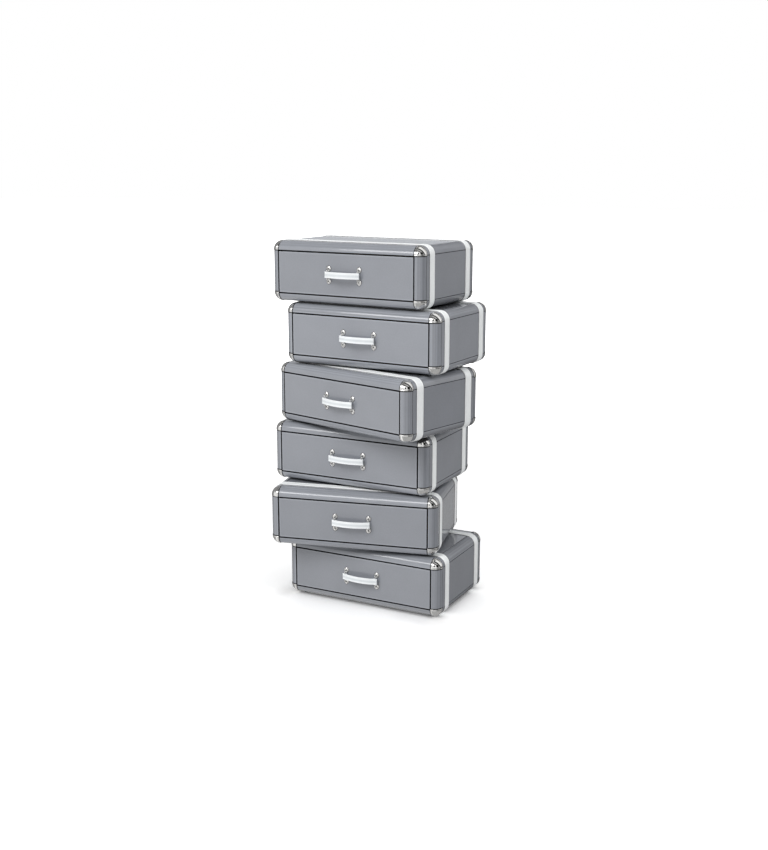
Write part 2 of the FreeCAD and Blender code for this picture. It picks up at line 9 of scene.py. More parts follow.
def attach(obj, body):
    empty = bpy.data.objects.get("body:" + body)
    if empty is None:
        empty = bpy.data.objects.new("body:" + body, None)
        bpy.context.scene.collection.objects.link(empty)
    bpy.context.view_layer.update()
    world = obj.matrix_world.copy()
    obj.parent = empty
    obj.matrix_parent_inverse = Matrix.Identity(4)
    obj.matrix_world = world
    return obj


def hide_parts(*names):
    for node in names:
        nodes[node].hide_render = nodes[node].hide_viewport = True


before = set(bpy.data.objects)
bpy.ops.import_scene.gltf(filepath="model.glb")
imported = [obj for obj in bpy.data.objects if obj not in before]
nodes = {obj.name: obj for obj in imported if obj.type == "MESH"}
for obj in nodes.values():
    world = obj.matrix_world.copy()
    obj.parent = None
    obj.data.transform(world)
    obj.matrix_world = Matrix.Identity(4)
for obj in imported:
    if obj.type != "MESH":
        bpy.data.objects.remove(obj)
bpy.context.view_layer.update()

# ------------------------------------------------------------------ the cases' places
# Sizes in millimetres. Case frame: origin under the middle of the case's underside, front towards -Y.
W, D, H, R = 716.0, 463.0, 247.4, 36.0
W2, D2 = W / 2, D / 2
POSES = {
    1: (-57.3, -8.4, -3.5),
    2: (8.6, -13.8, -3.06),
    3: (-6.3, -74.0, -14.21),
    4: (-66.6, 0.5, 0.38),
    5: (-66.4, -59.1, 12.36),
    6: (-1.0, 0.0, 0.0),
}
CASES = sorted(POSES)


def seat(n):
    """Place and turn of case n, in metres."""
    x, y, turn = POSES[n]
    at = Vector((34.473 + x, 68.084 + y, 6.3 + (6 - n) * 253.7)) * 0.001
    return Matrix.Translation(at) @ Matrix.Rotation(math.radians(turn), 4, "Z")


# ------------------------------------------------------------------ mesh helpers
class Shape:
    """Vertices and faces gathered in a case's own frame, in millimetres."""

    def __init__(self):
        self.v, self.f, self.tone = [], [], []

    def add(self, verts, faces, tone=None):
        base = len(self.v)
        self.v += [Vector(p) for p in verts]
        self.f += [tuple(base + i for i in face) for face in faces]
        self.tone += list(tone) if tone else [0.0] * len(verts)

    def sweep(self, stations, profile, closed=True, tone=None):
        """A closed profile of (across, out) points carried along stations of (point, across, out)."""
        count, verts, faces, tones = len(profile), [], [], []
        for at, across, out in stations:
            for k, (a, b) in enumerate(profile):
                verts.append(at + across * a + out * b)
                tones.append(tone[k] if tone else 0.0)
        last = len(stations) if closed else len(stations) - 1
        for i in range(last):
            j = (i + 1) % len(stations)
            for k in range(count):
                m = (k + 1) % count
                faces.append((i * count + k, j * count + k, j * count + m, i * count + m))
        if not closed:
            faces.append(tuple(range(count)))
            faces.append(tuple((len(stations) - 1) * count + k for k in reversed(range(count))))
        self.add(verts, faces, tones)

    def build(self, name, n, material, body, sharp=50.0):
        move = seat(n) @ Matrix.Scale(0.001, 4)
        me = bpy.data.meshes.new(name)
        me.from_pydata([move @ p for p in self.v], [], self.f)
        layer = me.attributes.new("tone", "FLOAT", "POINT")
        layer.data.foreach_set("value", self.tone)
        bm = bmesh.new()
        bm.from_mesh(me)
        bmesh.ops.remove_doubles(bm, verts=bm.verts, dist=1e-7)
        bmesh.ops.recalc_face_normals(bm, faces=bm.faces)
        bm.to_mesh(me)
        bm.free()
        me.shade_smooth()
        me.set_sharp_from_angle(angle=math.radians(sharp))
        me.materials.append(material)
        ob = bpy.data.objects.new(name, me)
        bpy.context.scene.collection.objects.link(ob)
        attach(ob, body)
        return ob


def stitch(shape, at, along, out, length, width, height, sides=6):
    """One sewn stitch: a short plump thread with tapered ends."""
    side = along.cross(out).normalized()
    verts, faces = [at - along * (length / 2) - out * (height * 0.5)], []
    rings = ((-0.44, 0.58, -0.16), (-0.24, 1.0, 0.0), (0.24, 1.0, 0.0), (0.44, 0.58, -0.16))
    for t, grow, sink in rings:
        mid = at + along * (t * length) + out * (sink * height)
        for k in range(sides):
            a = 2 * math.pi * k / sides
            verts.append(mid + side * (math.cos(a) * width / 2 * grow) + out * (math.sin(a) * height / 2 * grow))
    verts.append(at + along * (length / 2) - out * (height * 0.5))
    end = len(verts) - 1
    for k in range(sides):
        m = (k + 1) % sides
        faces.append((0, 1 + m, 1 + k))
        for r in range(len(rings) - 1):
            a, b = 1 + r * sides, 1 + (r + 1) * sides
            faces.append((a + k, a + m, b + m, b + k))
        a = 1 + (len(rings) - 1) * sides
        faces.append((a + k, a + m, end))
    shape.add(verts, faces)


def smooth_loop(points, step):
    """Closed Catmull-Rom line through points, at about even steps."""
    out, count = [], len(points)
    for i in range(count):
        p0, p1, p2, p3 = (Vector(points[(i + k - 1) % count]) for k in range(4))
        parts = max(1, int(round((p2 - p1).length / step)))
        for s in range(parts):
            t = s / parts
            out.append(0.5 * (2 * p1 + (p2 - p0) * t + (2 * p0 - 5 * p1 + 4 * p2 - p3) * t * t
                              + (3 * p1 - p0 - 3 * p2 + p3) * t ** 3))
    return out


def ease(a, b, x):
    t = min(1.0, max(0.0, (x - a) / (b - a)))
    return t * t * (3 - 2 * t)


# ------------------------------------------------------------------ material helpers
class Look:
    """A node material with one Principled shader."""

    def __init__(self, name):
        self.mat = bpy.data.materials.new(name)
        self.mat.use_nodes = True
        self.tree = self.mat.node_tree
        self.shader = next(x for x in self.tree.nodes if x.type == "BSDF_PRINCIPLED")

    def node(self, kind, **props):
        x = self.tree.nodes.new(kind)
        for k, v in props.items():
            setattr(x, k, v)
        return x

    def join(self, a, b):
        self.tree.links.new(a, b)

    def set(self, **values):
        for k, v in values.items():
            self.shader.inputs[k.replace("_", " ")].default_value = v

    def place(self, n=None):
        """Coordinates in metres, in case n's own frame if n is given."""
        out = self.node("ShaderNodeTexCoord").outputs["Object"]
        if n is None:
            return out
        m = self.node("ShaderNodeMapping", vector_type="TEXTURE")
        at, turn = seat(n).to_translation(), math.radians(POSES[n][2])
        m.inputs["Location"].default_value = at
        m.inputs["Rotation"].default_value = (0, 0, turn)
        self.join(out, m.inputs["Vector"])
        return m.outputs["Vector"]

    def stretch(self, vector, x, y, z):
        m = self.node("ShaderNodeMapping", vector_type="POINT")
        m.inputs["Scale"].default_value = (x, y, z)
        self.join(vector, m.inputs["Vector"])
        return m.outputs["Vector"]

    def noise(self, vector, scale, detail=2.0, rough=0.5, warp=0.0):
        x = self.node("ShaderNodeTexNoise")
        x.inputs["Scale"].default_value = scale
        x.inputs["Detail"].default_value = detail
        x.inputs["Roughness"].default_value = rough
        x.inputs["Distortion"].default_value = warp
        self.join(vector, x.inputs["Vector"])
        return x.outputs["Fac"]

    def cells(self, vector, scale, feature="F1", what="Distance"):
        x = self.node("ShaderNodeTexVoronoi", feature=feature)
        x.inputs["Scale"].default_value = scale
        self.join(vector, x.inputs["Vector"])
        return x.outputs[what]

    def ramp(self, value, stops, ease_="LINEAR"):
        x = self.node("ShaderNodeValToRGB")
        x.color_ramp.interpolation = ease_
        bar = x.color_ramp.elements
        while len(bar) < len(stops):
            bar.new(0.5)
        for e, (at, colour) in zip(bar, stops):
            e.position = at
            e.color = (*colour, 1.0) if isinstance(colour, tuple) else (colour, colour, colour, 1.0)
        self.join(value, x.inputs["Fac"])
        return x.outputs["Color"]

    def spread(self, value, low, high, to_low, to_high):
        x = self.node("ShaderNodeMapRange")
        for k, v in (("From Min", low), ("From Max", high), ("To Min", to_low), ("To Max", to_high)):
            x.inputs[k].default_value = v
        self.join(value, x.inputs["Value"])
        return x.outputs["Result"]

    def sum(self, op, a, b):
        x = self.node("ShaderNodeMath", operation=op)
        for k, v in enumerate((a, b)):
            if isinstance(v, (int, float)):
                x.inputs[k].default_value = v
            else:
                self.join(v, x.inputs[k])
        return x.outputs["Value"]

    def blend(self, fac, a, b, mode="MIX"):
        x = self.node("ShaderNodeMix", data_type="RGBA", blend_type=mode)
        ins = {s.identifier: s for s in x.inputs}
        for key, v in (("Factor_Float", fac), ("A_Color", a), ("B_Color", b)):
            if isinstance(v, (int, float)):
                ins[key].default_value = v if key == "Factor_Float" else (v, v, v, 1.0)
            elif isinstance(v, tuple):
                ins[key].default_value = (*v, 1.0)
            else:
                self.join(v, ins[key])
        return next(s for s in x.outputs if s.identifier == "Result_Color")

    def bump(self, height, distance, strength=1.0, after=None):
        x = self.node("ShaderNodeBump")
        x.inputs["Strength"].default_value = strength
        x.inputs["Distance"].default_value = distance
        self.join(height, x.inputs["Height"])
        if after is not None:
            self.join(after, x.inputs["Normal"])
        return x.outputs["Normal"]

    def xyz(self, vector):
        x = self.node("ShaderNodeSeparateXYZ")
        self.join(vector, x.inputs["Vector"])
        return x.outputs["X"], x.outputs["Y"], x.outputs["Z"]

    def depth(self, at):
        """How far below the case's rounded outside a point lies, in metres."""
        def vec(op, a, b=None):
            x = self.node("ShaderNodeVectorMath", operation=op)
            for i, v in enumerate((a, b)):
                if isinstance(v, tuple):
                    x.inputs[i].default_value = v
                elif v is not None:
                    self.join(v, x.inputs[i])
            return x
        mid = vec("SUBTRACT", at, (0.0, 0.0, H / 2000)).outputs["Vector"]
        q = vec("ABSOLUTE", mid).outputs["Vector"]
        q = vec("SUBTRACT", q, ((W2 - R) / 1000, (D2 - R) / 1000, (H / 2 - R) / 1000)).outputs["Vector"]
        far = vec("LENGTH", vec("MAXIMUM", q, (0.0, 0.0, 0.0)).outputs["Vector"]).outputs["Value"]
        x, y, z = self.xyz(q)
        most = self.sum("MINIMUM", self.sum("MAXIMUM", self.sum("MAXIMUM", x, y), z), 0.0)
        return self.sum("SUBTRACT", R / 1000, self.sum("ADD", far, most))

    def around(self, at):
        """Which way a point on the case's rounded edges faces: the same all along an edge."""
        inner = ((W2 - R) / 1000, (D2 - R) / 1000, (H / 2 - R) / 1000)
        for op, v in (("SUBTRACT", (0.0, 0.0, H / 2000)), ("MAXIMUM", tuple(-c for c in inner)), ("MINIMUM", inner)):
            x = self.node("ShaderNodeVectorMath", operation=op)
            self.join(at, x.inputs[0])
            x.inputs[1].default_value = v
            at = x.outputs["Vector"]
            if op == "SUBTRACT":
                mid = at
        out = self.node("ShaderNodeVectorMath", operation="SUBTRACT")
        self.join(mid, out.inputs[0])
        self.join(at, out.inputs[1])
        way = self.node("ShaderNodeVectorMath", operation="NORMALIZE")
        self.join(out.outputs["Vector"], way.inputs[0])
        return way.outputs["Vector"]

    def tone(self):
        x = self.node("ShaderNodeAttribute", attribute_type="GEOMETRY", attribute_name="tone")
        return x.outputs["Fac"]

    def colour(self, out):
        self.join(out, self.shader.inputs["Base Color"])

    def rough(self, out):
        self.join(out, self.shader.inputs["Roughness"])

    def normal(self, out):
        self.join(out, self.shader.inputs["Normal"])


PAINT = (0.232, 0.243, 0.268)
# each case's paint factor: partly its own tone, partly painted light and shade
CASE_TONE_AND_SHADE = {1: 1.0, 2: 1.075, 3: 0.98, 4: 1.0, 5: 0.965, 6: 0.955}
# painted light and shade on the mouldings, as factors on their colour, lighter or darker than the panels: low on the
# right side, low in front, high in front
MOULDING_PAINTED_LIGHT = {1: (0.56, 1.24, 1.02), 2: (1.01, 1.22, 0.98), 3: (0.76, 1.34, 1.12), 4: (1.28, 1.37, 1.03), 5: (0.81, 1.33, 1.07), 6: (0.72, 1.12, 0.97)}


def lacquer(name, n, wave=8.0, slope=0.004, kind="panel"):
    """Gloss grey lacquer: a little cloudy, faintly wavy, with a painted highlight along the rims, painted shade in
    gaps, seams and undersides, and painted light and shade on the mouldings.
    """
    k = Look(name)
    grey = tuple(c * CASE_TONE_AND_SHADE[n] for c in PAINT)
    at = k.place(n)
    cloud = k.noise(at, 5.0 + 0.3 * n, 3.0, 0.55)
    fine = k.noise(at, 160.0, 3.0, 0.6)
    base = k.ramp(cloud, [(0.25, tuple(c * 0.955 for c in grey)), (0.75, tuple(c * 1.045 for c in grey))])
    base = k.blend(0.5, base, k.ramp(fine, [(0.3, 0.47), (0.7, 0.53)]), "OVERLAY")
    k.set(Specular_IOR_Level=0.35, Coat_Weight=0.9, Coat_Roughness=0.045, Coat_IOR=1.5)
    if kind != "front":
        deep = k.depth(at)
        # painted shade: surfaces 0.8 to 5.6 mm below the rounded outside, the walls of the seams and of the opening, go
        # near black
        painted_shade = k.sum("MULTIPLY", k.spread(deep, 0.0008, 0.0014, 0.0, 1.0), k.spread(deep, 0.0056, 0.0060, 1.0, 0.0))
    if kind != "panel":
        x, y, z = k.xyz(at)
        wide, mid, tall = (0.3174, 0.1209, 0.0845) if kind == "front" else (0.322, 0.1212, 0.0882)
        ends = k.sum("SUBTRACT", k.sum("ABSOLUTE", x, 0.0), wide)
        tops = k.sum("SUBTRACT", k.sum("ABSOLUTE", k.sum("SUBTRACT", z, mid), 0.0), tall)
        past = k.sum("MAXIMUM", ends, tops)
        # painted highlight along the rims of the drawer front and of the opening, broken into patches by noise
        rim_highlight_patches = k.spread(k.noise(at, 45.0, 3.0, 0.6), 0.25, 0.75, 0.55, 1.0)
        if kind == "front":
            rim = k.sum("MAXIMUM", k.spread(ends, -0.0075, -0.0045, 0.0, 0.55), k.spread(tops, -0.0075, -0.0045, 0.0, 1.0))
            # painted shade: the drawer front's edge faces, and its outermost 0.4 to 1 mm at top and bottom, are made
            # near black for the shade in the gap round it
            painted_shade = k.sum("MAXIMUM", k.spread(y, -0.2309, -0.2303, 0.0, 1.0), k.spread(tops, -0.0010, -0.0004, 0.0, 1.0))
        else:
            # painted shade: the faces of the opening's lip near the front are made near black, for the shade in the gap
            # round the drawer
            near = k.spread(y, -0.20, -0.19, 1.0, 0.0)
            rim = k.sum("MULTIPLY", k.spread(past, 0.0042, 0.0075, 1.0, 0.0), near)
            reveal = k.spread(tops, 0.0014, 0.0021, 1.0, 0.0)
            reveal = k.sum("MULTIPLY", reveal, k.spread(ends, 0.0002, 0.0008, 1.0, 0.0))
            cheek = k.sum("MULTIPLY", k.spread(y, -0.2299, -0.2293, 0.0, 1.0), k.spread(past, 0.0004, 0.0010, 1.0, 0.0))
            reveal = k.sum("MAXIMUM", reveal, cheek)
            painted_shade = k.sum("MAXIMUM", painted_shade, k.sum("MULTIPLY", reveal, near))
        # mix in the painted rim highlight, lighter than the paint
        base = k.blend(k.sum("MULTIPLY", rim, rim_highlight_patches), base, tuple(c * 1.22 for c in grey))
    if kind == "panel":
        x, y, z = k.xyz(at)
        # painted shade: the case's underside is made near black, for the shade between the cases
        painted_shade = k.sum("MAXIMUM", painted_shade, k.spread(z, 0.0004, 0.0010, 1.0, 0.0))
        # painted shade: on the top, where the case above stands over it, the panel is made near black for the shade in
        # the gap between the cases
        if n > 1:
            above_x, above_y, _ = k.xyz(k.place(n - 1))
            inside = k.sum("MULTIPLY", k.spread(k.sum("ABSOLUTE", above_x, 0.0), (W2 - R - 4) / 1000, (W2 - R - 3) / 1000, 1.0, 0.0),
                           k.spread(k.sum("ABSOLUTE", above_y, 0.0), (D2 - R - 4) / 1000, (D2 - R - 3) / 1000, 1.0, 0.0))
            painted_shade = k.sum("MAXIMUM", painted_shade, k.sum("MULTIPLY", inside, k.spread(z, (H - 1.0) / 1000, (H - 0.4) / 1000, 0.0, 1.0)))
    if kind != "front":
        def off(value, place):
            return k.sum("ABSOLUTE", k.sum("SUBTRACT", value, place / 1000), 0.0)
        # painted shade: dark spots where the straps' edges cross the seams, larger than the real hollow under the strap
        edge = k.sum("SUBTRACT", off(k.sum("ABSOLUTE", y, 0.0), D2 - 58.9 - 19.25), 0.0195)
        line = k.sum("MINIMUM", off(off(z, H / 2), H / 2 - R + 0.9), off(k.sum("ABSOLUTE", x, 0.0), W2 - R + 0.9))
        strap_seam_shade = k.sum("ADD", k.sum("MULTIPLY", edge, edge), k.sum("MULTIPLY", line, line))
        painted_shade = k.sum("MAXIMUM", painted_shade, k.spread(k.sum("POWER", strap_seam_shade, 0.5), 0.0022, 0.0036, 1.0, 0.0))
    if kind == "moulding":
        # painted reflection: lengthwise light and dark streaks along each rounded edge, for streaky highlights in the
        # gloss
        streak = k.noise(k.around(at), 4.6 + 0.35 * n, 2.0, 0.55)
        base = k.blend(0.8, base, k.ramp(streak, [(0.38, 0.86), (0.62, 1.14)]), "MULTIPLY")
        low, high = k.spread(z, 0.016, 0.036, 1.0, 0.0), k.spread(z, (H - 36) / 1000, (H - 26) / 1000, 0.0, 1.0)
        right = k.spread(x, (W2 - R + 2) / 1000, (W2 - R + 10) / 1000, 0.0, 1.0)
        front = k.spread(y, -(D2 - R + 2) / 1000, -(D2 - R + 10) / 1000, 0.0, 1.0)
        # painted light and shade: each case's factors for the low moulding on the right, the low moulding in front and
        # the high moulding in front
        for f, level, face in zip(MOULDING_PAINTED_LIGHT[n], (low, low, high), (right, front, front)):
            base = k.blend(k.sum("MULTIPLY", level, face), base, (f, f, f), "MULTIPLY")
        # painted shade: the moulding's underside, up to 6 mm above the bottom (8 mm on the bottom case), is made near
        # black
        painted_shade = k.sum("MAXIMUM", painted_shade, k.spread(z, 0.0034, 0.0080, 0.92, 0.0) if n == 6 else k.spread(z, 0.0018, 0.0060, 0.9, 0.0))
        # painted shade: a dark line just outside each corner cap, for the cap's shadow on the lacquer
        out = k.sum("MINIMUM", k.sum("SUBTRACT", k.sum("ABSOLUTE", x, 0.0), (W2 - R - 3.4) / 1000),
                    k.sum("SUBTRACT", k.sum("ABSOLUTE", y, 0.0), (D2 - R - 3.4) / 1000))
        out = k.sum("MINIMUM", out, k.sum("SUBTRACT", k.sum("ABSOLUTE", k.sum("SUBTRACT", z, H / 2000), 0.0), (H / 2 - R - 3.4) / 1000))
        painted_shade = k.sum("MAXIMUM", painted_shade, k.spread(out, -0.0020, -0.0012, 0.0, 0.8))
    # the painted shade is near black, and the coat is taken off where it lies
    base = k.blend(painted_shade, base, (0.012, 0.012, 0.013))
    k.join(k.spread(painted_shade, 0.0, 1.0, 0.9, 0.0), k.shader.inputs["Coat Weight"])
    k.colour(base)
    k.rough(k.spread(k.noise(at, 22.0, 4.0, 0.65), 0.3, 0.75, 0.17, 0.27))
    wavy = k.bump(k.noise(at, wave, 1.0, 0.4), slope / (1.5 * wave))
    peel = k.bump(k.noise(at, 380.0, 1.0, 0.5), 0.0000065, 1.0, wavy)
    k.normal(peel)
    k.join(peel, k.shader.inputs["Coat Normal"])
    return k.mat


def chrome(name, scale=1.0):
    """Polished chrome with a breath of haze, fine rubbing marks and a painted shade line where it meets the lacquer."""
    k = Look(name)
    at = k.place()
    haze = k.noise(at, 55.0 * scale, 4.0, 0.65)
    speck = k.noise(at, 240.0 * scale, 3.0, 0.7)
    col = k.ramp(haze, [(0.3, (0.82, 0.815, 0.80)), (0.75, (0.92, 0.915, 0.90))])
    col = k.blend(0.5, col, k.ramp(speck, [(0.32, 0.70), (0.55, 1.0)]), "MULTIPLY")
    # painted shade: where the tone is -1 (cap rims and undersides, rosette washers, wire beads) the metal goes near
    # black, for the contact shadow round it
    painted_outline_shade = k.spread(k.tone(), -1.0, -0.2, 1.0, 0.0)
    k.colour(k.blend(painted_outline_shade, col, (0.02, 0.02, 0.021)))
    rub = k.noise(k.stretch(at, 1.0, 6.0, 3.0), 420.0, 2.0, 0.6, 0.4)
    shine = k.spread(k.sum("MULTIPLY", haze, rub), 0.1, 0.45, 0.03, 0.09)
    k.rough(k.sum("MAXIMUM", shine, k.sum("MULTIPLY", painted_outline_shade, 0.6)))
    k.set(Metallic=1.0, IOR=2.5)
    k.normal(k.bump(rub, 0.0000035, 1.0, k.bump(haze, 0.00013)))
    return k.mat


def leather(name, clean, dull, centre, grain=900.0, edge_paint_and_shade=None):
    """White finished leather: fine pebbled grain, a duller middle, faint creases."""
    k = Look(name)
    at = k.place()
    mottled = k.noise(at, 38.0, 4.0, 0.6)
    col = k.ramp(mottled, [(0.3, dull), (0.7, clean)])
    mid = k.spread(k.tone(), 0.0, 1.0, 0.0, 1.0)
    col = k.blend(k.sum("MULTIPLY", mid, k.spread(mottled, 0.25, 0.75, 1.0, 0.75)), col, centre)
    # the cut edges (tone -1) are grey: partly edge paint, partly painted shade for the strap's contact shadow
    if edge_paint_and_shade:
        col = k.blend(k.spread(k.tone(), -1.0, -0.4, 1.0, 0.0), col, edge_paint_and_shade)
    pores = k.cells(at, grain)
    col = k.blend(0.35, col, k.ramp(pores, [(0.05, 0.82), (0.35, 1.0)]), "MULTIPLY")
    k.colour(col)
    k.rough(k.spread(k.noise(at, 120.0, 3.0, 0.6), 0.3, 0.7, 0.36, 0.52))
    k.set(Specular_IOR_Level=0.45, Sheen_Weight=0.05)
    crease = k.bump(k.noise(k.stretch(at, 1.0, 1.0, 2.2), 70.0, 3.0, 0.6, 0.6), 0.00022)
    k.normal(k.bump(pores, 0.00007, 0.8, crease))
    return k.mat


def thread(name):
    k = Look(name)
    at = k.place()
    twist = k.noise(k.stretch(at, 2.0, 2.0, 1.0), 1500.0, 2.0, 0.6, 1.0)
    k.colour(k.ramp(twist, [(0.25, (0.66, 0.66, 0.66)), (0.7, (0.86, 0.86, 0.855))]))
    k.rough(k.spread(twist, 0.2, 0.8, 0.55, 0.75))
    k.set(Sheen_Weight=0.15, Specular_IOR_Level=0.3)
    k.normal(k.bump(twist, 0.00006))
    return k.mat


def timber(name, n, light, dark, along="y", ring=26.0, fine=260.0, inner=None):
    """Pale wood: growth lines and pores drawn out along the board, or across where a point is nearer the middle than inner."""
    k = Look(name)
    at = k.place(n) if n else k.place()
    if inner:
        x, y, z = k.xyz(at)
        turned = k.node("ShaderNodeCombineXYZ")
        for socket, v in zip(turned.inputs, (y, x, z)):
            k.join(v, socket)
        pick = k.node("ShaderNodeMix", data_type="VECTOR")
        ins = {s.identifier: s for s in pick.inputs}
        k.join(k.spread(k.sum("ABSOLUTE", x, 0.0), inner - 0.0002, inner, 1.0, 0.0), ins["Factor_Float"])
        k.join(at, ins["A_Vector"])
        k.join(turned.outputs["Vector"], ins["B_Vector"])
        at = next(s for s in pick.outputs if s.identifier == "Result_Vector")
    long = {"x": (0.05, 1.0, 1.0), "y": (1.0, 0.05, 1.0), "z": (1.0, 1.0, 0.05)}[along]
    drawn = k.stretch(at, *long)
    wander = k.noise(drawn, ring, 3.0, 0.55, 0.8)
    x = k.node("ShaderNodeTexWave", wave_type="RINGS", rings_direction={"x": "X", "y": "Y", "z": "Z"}[along])
    x.inputs["Scale"].default_value = ring
    x.inputs["Distortion"].default_value = 7.0
    x.inputs["Detail"].default_value = 3.0
    x.inputs["Detail Scale"].default_value = 1.4
    k.join(drawn, x.inputs["Vector"])
    lines = k.sum("ADD", k.sum("MULTIPLY", x.outputs["Fac"], 0.55), k.sum("MULTIPLY", wander, 0.45))
    col = k.ramp(lines, [(0.2, light), (0.85, dark)])
    pores = k.noise(k.stretch(at, *[1.0 if v == 1.0 else 0.02 for v in long]), fine * 4, 2.0, 0.7)
    col = k.blend(0.5, col, k.ramp(pores, [(0.35, 0.78), (0.6, 1.0)]), "MULTIPLY")
    k.colour(col)
    k.rough(k.spread(lines, 0.2, 0.8, 0.42, 0.58))
    k.set(Specular_IOR_Level=0.35)
    k.normal(k.bump(pores, 0.00005, 0.7, k.bump(lines, 0.00006)))
    return k.mat


def steel(name, dark, light, rough=(0.28, 0.42)):
    k = Look(name)
    at = k.place()
    marks = k.noise(k.stretch(at, 1.0, 1.0, 5.0), 300.0, 3.0, 0.65)
    k.colour(k.ramp(marks, [(0.25, dark), (0.75, light)]))
    k.rough(k.spread(marks, 0.3, 0.7, *rough))
    k.set(Metallic=1.0)
    k.normal(k.bump(marks, 0.00002))
    return k.mat


def rubber(name, dark, light):
    k = Look(name)
    at = k.place()
    speck = k.noise(at, 420.0, 4.0, 0.7)
    k.colour(k.ramp(speck, [(0.25, dark), (0.75, light)]))
    k.rough(k.spread(speck, 0.2, 0.8, 0.6, 0.8))
    k.set(Specular_IOR_Level=0.3)
    k.normal(k.bump(speck, 0.00012))
    return k.mat


# ------------------------------------------------------------------ finishes on the CAD pieces
def wear(node, material):
    me = nodes[node].data
    me.materials.clear()
    me.materials.append(material)


def eased_edges(node, width):
    """Boards with slightly rounded arrises."""
    ob = nodes[node]
    weld = ob.modifiers.new("weld", "WELD")
    weld.merge_threshold = 0.00001
    soft = ob.modifiers.new("arris", "BEVEL")
    soft.width = width
    soft.segments = 2
    soft.limit_method = "ANGLE"
    soft.angle_limit = math.radians(50)
    soft.harden_normals = False
    flat = ob.modifiers.new("normals", "WEIGHTED_NORMAL")
    flat.keep_sharp = True


chrome_cap = chrome("chrome_corner")
chrome_wire = chrome("chrome_wire", 2.0)
# the last colour is for the straps' grey cut edges, partly edge paint and partly painted shade
white_strap = leather("white_strap_leather", (0.90, 0.915, 0.92), (0.86, 0.875, 0.88), (0.82, 0.84, 0.845), 900.0,
                      (0.34, 0.34, 0.345))
white_grip = leather("white_grip_leather", (0.82, 0.845, 0.86), (0.78, 0.805, 0.82), (0.60, 0.63, 0.65), 1000.0)
white_thread = thread("white_thread")

for n in CASES:
    panel = lacquer("lacquer_panel_%d" % n, n)
    wear("case_%d_panels" % n, panel)
    wear("case_%d_edge_mouldings" % n, lacquer("lacquer_moulding_%d" % n, n, 15.0, 0.02, "moulding"))
    wear("drawer_%d_front" % n, lacquer("lacquer_front_%d" % n, n, 7.0, 0.003, "front"))
    wear("drawer_%d_box" % n, timber("birch_board_%d" % n, n, (0.62, 0.47, 0.31), (0.47, 0.33, 0.20), "y", inner=0.3008))
    wear("drawer_%d_bottom" % n, timber("birch_bottom_%d" % n, n, (0.60, 0.46, 0.31), (0.50, 0.36, 0.23), "x", 18.0))
    eased_edges("drawer_%d_box" % n, 0.0008)
    eased_edges("drawer_%d_bottom" % n, 0.0005)
wear("drawer_runners", timber("beech_runner", None, (0.55, 0.36, 0.22), (0.42, 0.26, 0.15), "y", 30.0))
wear("runner_screws", steel("screw_steel", (0.40, 0.38, 0.33), (0.62, 0.58, 0.50)))
wear("stack_bolts", steel("bolt_steel", (0.36, 0.37, 0.38), (0.60, 0.61, 0.62)))
wear("stack_nuts", steel("nut_steel", (0.36, 0.37, 0.38), (0.60, 0.61, 0.62)))
wear("stack_spacers", rubber("spacer_rubber", (0.012, 0.012, 0.013), (0.028, 0.028, 0.030)))
wear("floor_glides", rubber("glide_felt", (0.035, 0.035, 0.038), (0.070, 0.070, 0.074)))


# ------------------------------------------------------------------ corner caps
def cap_rise(edge):
    """Height of the pressed metal over the case, by the distance from the cap's rim."""
    margin = 0.35 * ease(0.0, 0.3, edge)
    step = min(1.0, max(0.0, (edge - 2.2) / 1.3))
    plate = 1.5 * math.sqrt(1 - (1 - step) ** 2)
    groove = 0.45 * math.exp(-((edge - 6.2) / 0.9) ** 2)
    return 0.06 + max(margin, plate - groove)


def cap_grid():
    """One corner cap about the centre of the case's rounded corner, towards +X +Y +Z."""
    flange, quarter = 3.4, R * math.pi / 4
    marks = [0.0, 0.15, 0.3, 1.2, 2.2, 2.28, 2.4, 2.6, 2.9, 3.3, 3.8, 4.4, 4.9, 5.3, 5.6, 5.9, 6.2, 6.5, 6.8, 7.1, 7.5, 8.2,
             10.0, 12.0, 14.5, 17.0, 19.5, 22.0, 24.5, 27.0, 29.5, flange + quarter]
    line = [m - flange for m in marks]

    def unit(s, t):
        """Direction and flat part for arc distances s, t from the two rim planes."""
        core = (min(s, 0.0), min(t, 0.0))
        a, b = math.tan(max(s, 0.0) / R), math.tan(max(t, 0.0) / R)
        d = Vector((1.0, a, b)).normalized()
        return d, core

    size = len(line)
    outer, inner, faces, dark = [], [], [], []
    for turn in range(3):
        base = len(outer)
        for s in line:
            for t in line:
                d, core = unit(s, t)
                reach = []
                for value, c in ((d.y, core[0]), (d.z, core[1])):
                    reach.append((c if c < 0 else math.asin(min(1.0, value)) * R) + flange)
                far = math.asin(min(1.0, d.x)) * R + flange
                edge = min(reach + [far])
                rise = cap_rise(edge)
                # the rim band within 2.25 mm of the edge, and the whole underside, get tone -1: painted shade in the
                # chrome
                dark.append(-1.0 if edge < 2.25 else 0.0)
                for store, h in ((outer, rise), (inner, 0.03)):
                    p = d * (R + h) + Vector((0.0, core[0], core[1]))
                    store.append(Vector((p[(0 - turn) % 3], p[(1 - turn) % 3], p[(2 - turn) % 3])))
        for i in range(size - 1):
            for j in range(size - 1):
                faces.append((base + i * size + j, base + (i + 1) * size + j,
                              base + (i + 1) * size + j + 1, base + i * size + j + 1))
    count = len(outer)
    rim = []
    for turn in range(3):
        base = turn * size * size
        for k in range(size - 1):
            rim.append((base + k, base + k + 1))
            rim.append((base + k * size, base + (k + 1) * size))
    verts = outer + inner
    faces += [tuple(count + i for i in reversed(f)) for f in faces]
    faces += [(a, b, count + b, count + a) for a, b in rim]
    return verts, faces, dark + [-1.0] * count


